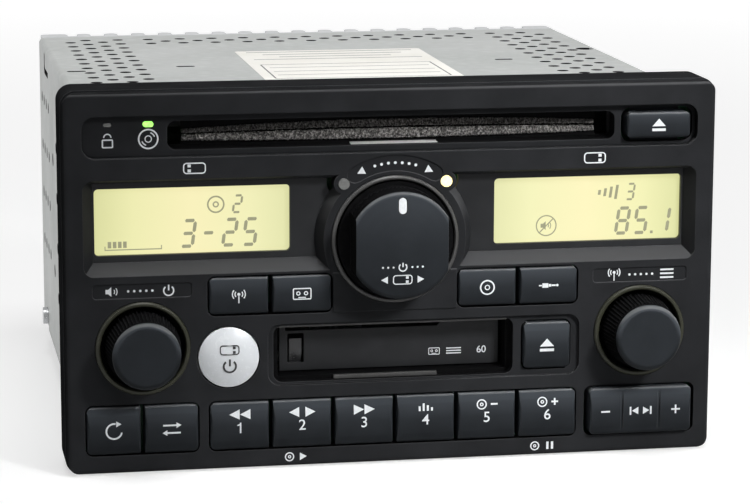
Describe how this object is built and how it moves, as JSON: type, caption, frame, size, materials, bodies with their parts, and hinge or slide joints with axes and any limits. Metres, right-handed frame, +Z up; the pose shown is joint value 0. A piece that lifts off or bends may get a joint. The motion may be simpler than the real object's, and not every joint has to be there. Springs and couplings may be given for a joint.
{
  "type": "car cassette radio",
  "caption": "Double-height dashboard radio in a vented sheet-metal case, with a disc slot, a hinged cassette door, lit displays, push buttons and turning knobs.",
  "frame": {"origin": "under the middle of the unit's whole length and width, level with the lowest edge of the bezel", "axes": "+X to the right and +Y to the rear as seen from the front, +Z up"},
  "size_m": [0.1888, 0.195, 0.1098],
  "materials": {
    "bezel_plastic": "fine-textured charcoal moulding",
    "button_plastic": "satin charcoal moulding",
    "white_plastic": "glossy white moulding",
    "felt": "short grey-brown felt",
    "display_glass": "lit pale yellow-green panel",
    "mask_plastic": "smooth dark grey moulding",
    "lamp_plastic": "clear light pipe",
    "ring_plastic": "olive-grey satin ring",
    "zinc_sheet": "pale galvanised sheet",
    "steel": "plain bright steel",
    "aluminium": "extruded, plain",
    "brass": "turned",
    "rubber": "matt black",
    "board": "green coated board",
    "black_plastic": "black moulding"
  },
  "bodies": {
    "head_unit": {"front_bezel": "bezel_plastic", "disc_slot_frame": "bezel_plastic", "disc_felts": "felt", "indicator_lights": "lamp_plastic", "display_masks": "mask_plastic", "display_panels": "display_glass", "encoder_bodies": "steel", "knob_rings": "ring_plastic", "tape_slot_frame": "bezel_plastic", "tape_door_pin": "steel", "front_circuit_board": "board", "key_switches": "black_plastic", "chassis_tray": "zinc_sheet", "top_cover": "zinc_sheet", "heat_sink": "aluminium", "main_circuit_board": "board", "harness_connector": "black_plastic", "antenna_socket": "aluminium", "case_screws": "steel", "disc_deck_frame": "zinc_sheet", "tape_deck_frame": "zinc_sheet", "tape_head": "aluminium", "tape_motor": "steel", "drive_belt": "rubber"},
    "disc_eject_button_body": {"disc_eject_button": "button_plastic"},
    "source_button_1_body": {"source_button_1": "button_plastic"},
    "source_button_2_body": {"source_button_2": "button_plastic"},
    "source_button_3_body": {"source_button_3": "button_plastic"},
    "source_button_4_body": {"source_button_4": "button_plastic"},
    "rear_power_button_body": {"rear_power_button": "white_plastic"},
    "tape_eject_button_body": {"tape_eject_button": "button_plastic"},
    "scan_button_body": {"scan_button": "button_plastic"},
    "select_button_body": {"select_button": "button_plastic"},
    "preset_button_1_body": {"preset_button_1": "button_plastic"},
    "preset_button_2_body": {"preset_button_2": "button_plastic"},
    "preset_button_3_body": {"preset_button_3": "button_plastic"},
    "preset_button_4_body": {"preset_button_4": "button_plastic"},
    "preset_button_5_body": {"preset_button_5": "button_plastic"},
    "preset_button_6_body": {"preset_button_6": "button_plastic"},
    "seek_rocker_body": {"seek_rocker": "button_plastic"},
    "volume_push_body": {"volume_plunger": "white_plastic"},
    "volume_dial": {"volume_knob": "bezel_plastic", "volume_shaft": "steel"},
    "tune_push_body": {"tune_plunger": "white_plastic"},
    "tune_dial": {"tune_knob": "bezel_plastic", "tune_shaft": "steel"},
    "rear_control_push_body": {"rear_control_plunger": "white_plastic"},
    "rear_control_dial": {"rear_control_knob": "bezel_plastic", "rear_control_shaft": "steel"},
    "tape_door_body": {"tape_door": "mask_plastic", "door_leaf_spring": "black_plastic"},
    "disc_roller": {"disc_load_roller": "rubber"},
    "turntable": {"disc_turntable": "black_plastic"},
    "pickup": {"disc_pickup": "steel"},
    "carrier": {"tape_carrier": "steel"},
    "front_capstan_body": {"front_capstan": "brass"},
    "rear_capstan_body": {"rear_capstan": "brass"},
    "front_hub_body": {"front_reel_hub": "white_plastic"},
    "rear_hub_body": {"rear_reel_hub": "white_plastic"},
    "pulley_body": {"motor_pulley": "brass"}
  },
  "joints": [
    {"name": "disc_eject_button_press", "type": "slide", "parent": "head_unit", "child": "disc_eject_button_body", "axis": [0, 1, 0], "range_m": [0, 0.0009], "stiffness_N_per_m": 500},
    {"name": "source_button_1_press", "type": "slide", "parent": "head_unit", "child": "source_button_1_body", "axis": [0, 1, 0], "range_m": [0, 0.0009], "stiffness_N_per_m": 500},
    {"name": "source_button_2_press", "type": "slide", "parent": "head_unit", "child": "source_button_2_body", "axis": [0, 1, 0], "range_m": [0, 0.0009], "stiffness_N_per_m": 500},
    {"name": "source_button_3_press", "type": "slide", "parent": "head_unit", "child": "source_button_3_body", "axis": [0, 1, 0], "range_m": [0, 0.0009], "stiffness_N_per_m": 500},
    {"name": "source_button_4_press", "type": "slide", "parent": "head_unit", "child": "source_button_4_body", "axis": [0, 1, 0], "range_m": [0, 0.0009], "stiffness_N_per_m": 500},
    {"name": "rear_power_button_press", "type": "slide", "parent": "head_unit", "child": "rear_power_button_body", "axis": [0, 1, 0], "range_m": [0, 0.0009], "stiffness_N_per_m": 500},
    {"name": "tape_eject_button_press", "type": "slide", "parent": "head_unit", "child": "tape_eject_button_body", "axis": [0, 1, 0], "range_m": [0, 0.0009], "stiffness_N_per_m": 500},
    {"name": "scan_button_press", "type": "slide", "parent": "head_unit", "child": "scan_button_body", "axis": [0, 1, 0], "range_m": [0, 0.0009], "stiffness_N_per_m": 500},
    {"name": "select_button_press", "type": "slide", "parent": "head_unit", "child": "select_button_body", "axis": [0, 1, 0], "range_m": [0, 0.0009], "stiffness_N_per_m": 500},
    {"name": "preset_button_1_press", "type": "slide", "parent": "head_unit", "child": "preset_button_1_body", "axis": [0, 1, 0], "range_m": [0, 0.0009], "stiffness_N_per_m": 500},
    {"name": "preset_button_2_press", "type": "slide", "parent": "head_unit", "child": "preset_button_2_body", "axis": [0, 1, 0], "range_m": [0, 0.0009], "stiffness_N_per_m": 500},
    {"name": "preset_button_3_press", "type": "slide", "parent": "head_unit", "child": "preset_button_3_body", "axis": [0, 1, 0], "range_m": [0, 0.0009], "stiffness_N_per_m": 500},
    {"name": "preset_button_4_press", "type": "slide", "parent": "head_unit", "child": "preset_button_4_body", "axis": [0, 1, 0], "range_m": [0, 0.0009], "stiffness_N_per_m": 500},
    {"name": "preset_button_5_press", "type": "slide", "parent": "head_unit", "child": "preset_button_5_body", "axis": [0, 1, 0], "range_m": [0, 0.0009], "stiffness_N_per_m": 500},
    {"name": "preset_button_6_press", "type": "slide", "parent": "head_unit", "child": "preset_button_6_body", "axis": [0, 1, 0], "range_m": [0, 0.0009], "stiffness_N_per_m": 500},
    {"name": "seek_rocker_tilt", "type": "hinge", "parent": "head_unit", "child": "seek_rocker_body", "pos_m": [0.07265, -0.0789, 0.0131], "axis": [0, 0, 1], "range_deg": [-3, 3], "stiffness_Nm_per_rad": 0.15},
    {"name": "volume_push", "type": "slide", "parent": "head_unit", "child": "volume_push_body", "axis": [0, 1, 0], "range_m": [0, 0.001], "stiffness_N_per_m": 700},
    {"name": "volume_turn", "type": "hinge", "parent": "volume_push_body", "child": "volume_dial", "pos_m": [-0.07225, -0.0855, 0.0366], "axis": [0, 1, 0], "continuous": true},
    {"name": "tune_push", "type": "slide", "parent": "head_unit", "child": "tune_push_body", "axis": [0, 1, 0], "range_m": [0, 0.001], "stiffness_N_per_m": 700},
    {"name": "tune_turn", "type": "hinge", "parent": "tune_push_body", "child": "tune_dial", "pos_m": [0.07225, -0.0855, 0.0366], "axis": [0, 1, 0], "continuous": true},
    {"name": "rear_control_push", "type": "slide", "parent": "head_unit", "child": "rear_control_push_body", "axis": [0, 1, 0], "range_m": [0, 0.001], "stiffness_N_per_m": 700},
    {"name": "rear_control_turn", "type": "hinge", "parent": "rear_control_push_body", "child": "rear_control_dial", "pos_m": [0, -0.0855, 0.0658], "axis": [0, 1, 0], "range_deg": [-45, 45]},
    {"name": "tape_door_swing", "type": "hinge", "parent": "head_unit", "child": "tape_door_body", "pos_m": [0, -0.07635, 0.0416], "axis": [1, 0, 0], "range_deg": [0, 88], "stiffness_Nm_per_rad": 0.004},
    {"name": "disc_roller_spin", "type": "hinge", "parent": "head_unit", "child": "disc_roller", "pos_m": [0, -0.0609, 0.09315], "axis": [1, 0, 0], "continuous": true},
    {"name": "turntable_spin", "type": "hinge", "parent": "head_unit", "child": "turntable", "pos_m": [0, -0.0015, 0.09675], "axis": [0, 0, 1], "continuous": true},
    {"name": "pickup_travel", "type": "slide", "parent": "head_unit", "child": "pickup", "axis": [0, 1, 0], "range_m": [0, 0.03]},
    {"name": "carrier_lower", "type": "slide", "parent": "head_unit", "child": "carrier", "axis": [0, 0, -1], "range_m": [0, 0.0066]},
    {"name": "front_capstan_spin", "type": "hinge", "parent": "head_unit", "child": "front_capstan_body", "pos_m": [0.0236, -0.0425, 0.0149], "axis": [0, 0, 1], "continuous": true},
    {"name": "rear_capstan_spin", "type": "hinge", "parent": "head_unit", "child": "rear_capstan_body", "pos_m": [0.0236, 0.0115, 0.0149], "axis": [0, 0, 1], "continuous": true},
    {"name": "front_hub_spin", "type": "hinge", "parent": "head_unit", "child": "front_hub_body", "pos_m": [-0.002, -0.03675, 0.0209], "axis": [0, 0, 1], "continuous": true},
    {"name": "rear_hub_spin", "type": "hinge", "parent": "head_unit", "child": "rear_hub_body", "pos_m": [-0.002, 0.00575, 0.0209], "axis": [0, 0, 1], "continuous": true},
    {"name": "pulley_spin", "type": "hinge", "parent": "head_unit", "child": "pulley_body", "pos_m": [0.056, 0.0225, 0.0149], "axis": [0, 0, 1], "continuous": true}
  ],
  "couplings": [
    {"joint": "rear_capstan_spin", "follows": "front_capstan_spin", "ratio": 1},
    {"joint": "pulley_spin", "follows": "front_capstan_spin", "ratio": 4},
    {"joint": "front_hub_spin", "follows": "front_capstan_spin", "ratio": 0.0625},
    {"joint": "rear_hub_spin", "follows": "front_capstan_spin", "ratio": 0.0625}
  ]
}
